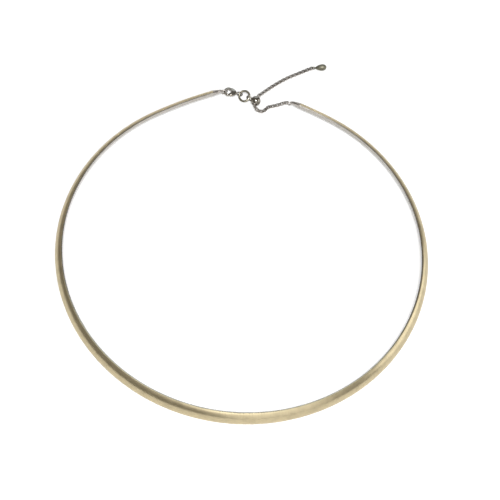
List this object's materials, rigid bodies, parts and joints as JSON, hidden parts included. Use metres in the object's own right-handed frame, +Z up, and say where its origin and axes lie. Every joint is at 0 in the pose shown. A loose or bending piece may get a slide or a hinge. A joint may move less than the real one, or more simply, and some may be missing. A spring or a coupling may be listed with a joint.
{
  "type": "omega necklace",
  "caption": "Stiff plate-link collar necklace, gold outside and silver inside, closed by a lobster clasp with a sliding-ball chain adjuster.",
  "frame": {"origin": "middle of the neck opening, on the surface that the necklace lies on", "axes": "+Z up out of the surface, along the neck; +Y towards the clasp at the back; -Y is the front; +X to the wearer's left"},
  "size_m": [0.14, 0.1608, 0.005],
  "materials": {
    "gold": "polished yellow gold face over silver",
    "silver": "polished silver"
  },
  "bodies": {
    "necklace": {"omega_band": "gold", "left_end_cap": "silver", "right_end_cap": "silver", "clasp_body": "silver", "clasp_pin": "silver", "jump_ring": "silver", "slider_ball": "silver", "box_chain": "silver", "end_drop": "silver"},
    "lever": {"clasp_lever": "silver"}
  },
  "joints": [
    {"name": "clasp_lever_hinge", "type": "hinge", "parent": "necklace", "child": "lever", "pos_m": [-0.0129, 0.06996, 0.0015], "axis": [0, 0, -1], "range_deg": [0, 15], "stiffness_Nm_per_rad": 0.002, "springref_deg": -11.46}
  ]
}
